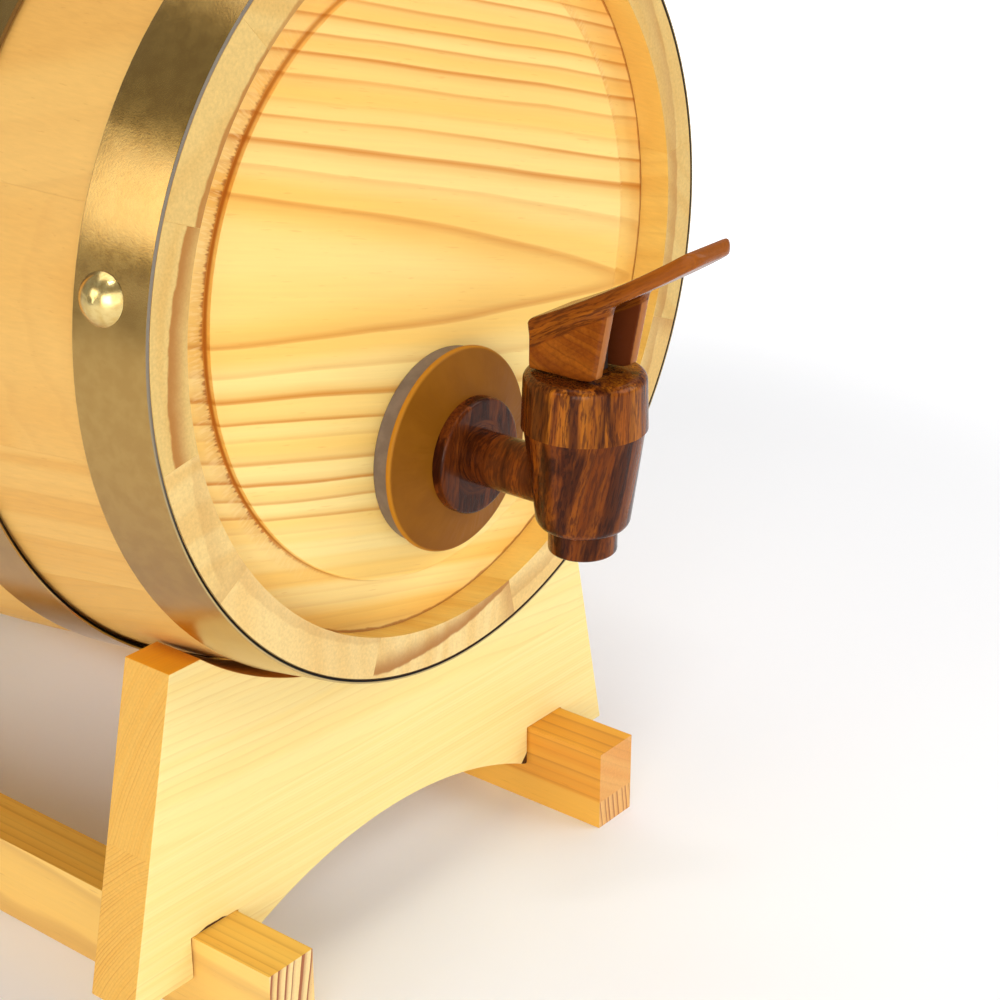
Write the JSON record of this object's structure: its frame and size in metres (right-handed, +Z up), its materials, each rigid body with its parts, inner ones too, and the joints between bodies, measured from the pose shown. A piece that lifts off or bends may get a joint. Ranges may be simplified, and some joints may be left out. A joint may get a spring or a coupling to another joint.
{
  "type": "wooden barrel dispenser",
  "caption": "Small wooden stave barrel with brass hoops on a two-board stand, with a lever tap in its front head and a bung on top.",
  "frame": {"origin": "on the floor under the centre of the whole object's box", "axes": "+Z up, -Y towards the tap, +X to the right as seen from the tap's side"},
  "size_m": [0.1977, 0.303, 0.2616],
  "materials": {
    "stand_wood": "clear satin lacquer",
    "rail_wood": "clear satin lacquer",
    "screw_brass": "plain",
    "stave_wood": "clear satin lacquer",
    "head_wood": "clear satin lacquer",
    "hoop_brass": "satin, rolled strip",
    "rivet_brass": "polished",
    "bung_wood": "clear satin lacquer",
    "gasket_rubber": "translucent grey",
    "washer_rubber": "semi-gloss",
    "tap_plastic": "dark rosewood-look moulding",
    "seal_rubber": "soft matt",
    "stem_plastic": "natural",
    "spring_steel": "bright wire",
    "lever_plastic": "light rosewood-look moulding",
    "nut_plastic": "plain moulding"
  },
  "bodies": {
    "stand": {"front_saddle": "stand_wood", "rear_saddle": "stand_wood", "left_rail": "rail_wood", "right_rail": "rail_wood", "stand_screws": "screw_brass"},
    "barrel": {"stave_01": "stave_wood", "stave_02": "stave_wood", "stave_03": "stave_wood", "stave_04": "stave_wood", "stave_05": "stave_wood", "stave_06": "stave_wood", "stave_07": "stave_wood", "stave_08": "stave_wood", "stave_09": "stave_wood", "stave_10": "stave_wood", "stave_11": "stave_wood", "stave_12": "stave_wood", "front_head": "head_wood", "rear_head": "head_wood", "front_rim_hoop": "hoop_brass", "front_belly_hoop": "hoop_brass", "rear_belly_hoop": "hoop_brass", "rear_rim_hoop": "hoop_brass", "hoop_rivets": "rivet_brass", "tap_gasket": "gasket_rubber", "tap_washer": "washer_rubber", "tap_body": "tap_plastic", "tap_bonnet": "tap_plastic", "bonnet_seal": "seal_rubber", "return_spring": "spring_steel", "inner_washer": "nut_plastic", "lock_nut": "nut_plastic"},
    "bung": {"bung": "bung_wood"},
    "stem": {"valve_stem": "stem_plastic", "seat_cup": "seal_rubber", "lever_pin": "spring_steel"},
    "lever": {"tap_lever": "lever_plastic"}
  },
  "joints": [
    {"name": "barrel_lift", "type": "slide", "parent": "stand", "child": "barrel", "axis": [0, 0, 1], "range_m": [0, 0.045]},
    {"name": "bung_pull", "type": "slide", "parent": "barrel", "child": "bung", "axis": [0, 0, 1], "range_m": [0, 0.045]},
    {"name": "stem_lift", "type": "slide", "parent": "barrel", "child": "stem", "axis": [0, 0, 1], "range_m": [0, 0.0025], "deforming": ["return_spring"]},
    {"name": "lever_tilt", "type": "hinge", "parent": "stem", "child": "lever", "pos_m": [0, -0.12226, 0.1469], "axis": [1, 0, 0], "range_deg": [0, 36], "stiffness_Nm_per_rad": 0.0335, "springref_deg": -57.3}
  ],
  "couplings": [
    {"joint": "lever_tilt", "follows": "stem_lift", "rad_per_m": 244.35}
  ]
}
